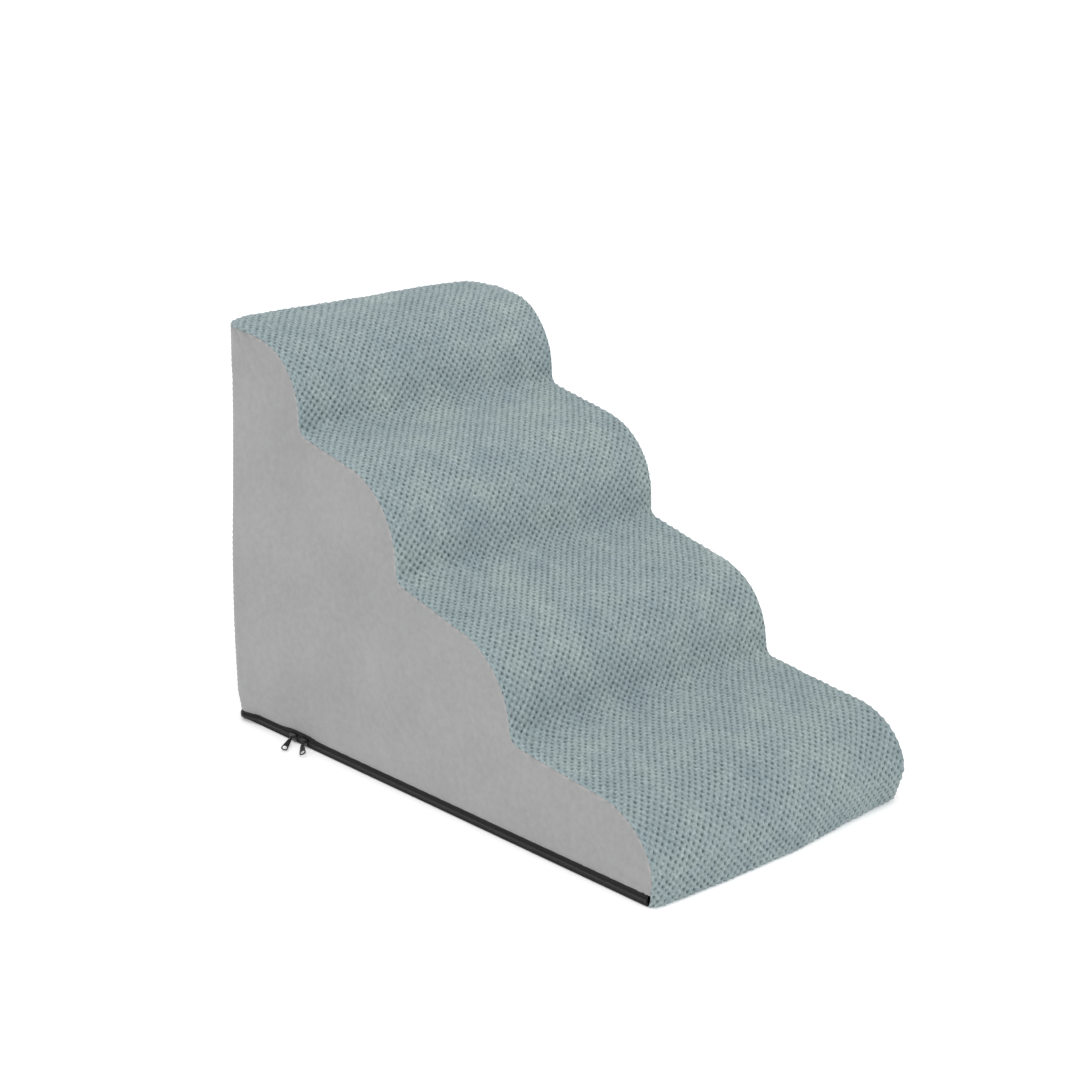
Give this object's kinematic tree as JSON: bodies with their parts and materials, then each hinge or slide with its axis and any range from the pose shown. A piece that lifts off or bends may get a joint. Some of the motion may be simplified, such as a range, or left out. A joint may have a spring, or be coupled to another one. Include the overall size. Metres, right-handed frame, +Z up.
{
  "type": "pet stair",
  "caption": "Wave-shaped foam stair for a small pet, with a bubble plush tread, smooth side panels and a cover that unzips along its base.",
  "frame": {"origin": "on the floor, at the middle of the 700 by 400 mm footprint", "axes": "+Z up, +Y from the low front edge to the tall back, +X to the right of a pet that climbs the stair"},
  "size_m": [0.4305, 0.7006, 0.5],
  "materials": {
    "foam": "open-cell polyurethane foam, matte",
    "plush": "embossed bubble plush, blue-grey, soft sheen",
    "side_fabric": "short-pile velvet, light grey",
    "base_fabric": "woven non-slip cloth with rubber dots",
    "zipper_tape": "herringbone zipper tape, black",
    "zipper_coil": "nylon coil, black",
    "slider_metal": "black painted zinc, satin"
  },
  "bodies": {
    "stair": {"foam_core": "foam", "tread_cover": "plush", "side_panel_left": "side_fabric", "side_panel_right": "side_fabric", "back_panel": "side_fabric", "bottom_panel": "base_fabric", "zipper_tape_upper": "zipper_tape", "zipper_tape_lower": "zipper_tape", "zipper_coil_upper": "zipper_coil", "zipper_coil_lower": "zipper_coil"},
    "slider_front": {"slider_front": "slider_metal"},
    "slider_rear": {"slider_rear": "slider_metal"},
    "pull_front": {"pull_tab_front": "slider_metal"},
    "pull_rear": {"pull_tab_rear": "slider_metal"}
  },
  "joints": [
    {"name": "slider_front_travel", "type": "slide", "parent": "stair", "child": "slider_front", "axis": [0, -1, 0], "range_m": [0, 0.555]},
    {"name": "slider_rear_travel", "type": "slide", "parent": "stair", "child": "slider_rear", "axis": [0, 1, 0], "range_m": [0, 0.06]},
    {"name": "pull_front_swing", "type": "hinge", "parent": "slider_front", "child": "pull_front", "pos_m": [-0.2046, 0.2245, 0.007], "axis": [-0.1478, 0, 0.989], "range_deg": [-42, 33]},
    {"name": "pull_rear_swing", "type": "hinge", "parent": "slider_rear", "child": "pull_rear", "pos_m": [-0.2046, 0.246, 0.007], "axis": [-0.1478, 0, 0.989], "range_deg": [-119, 7]}
  ]
}
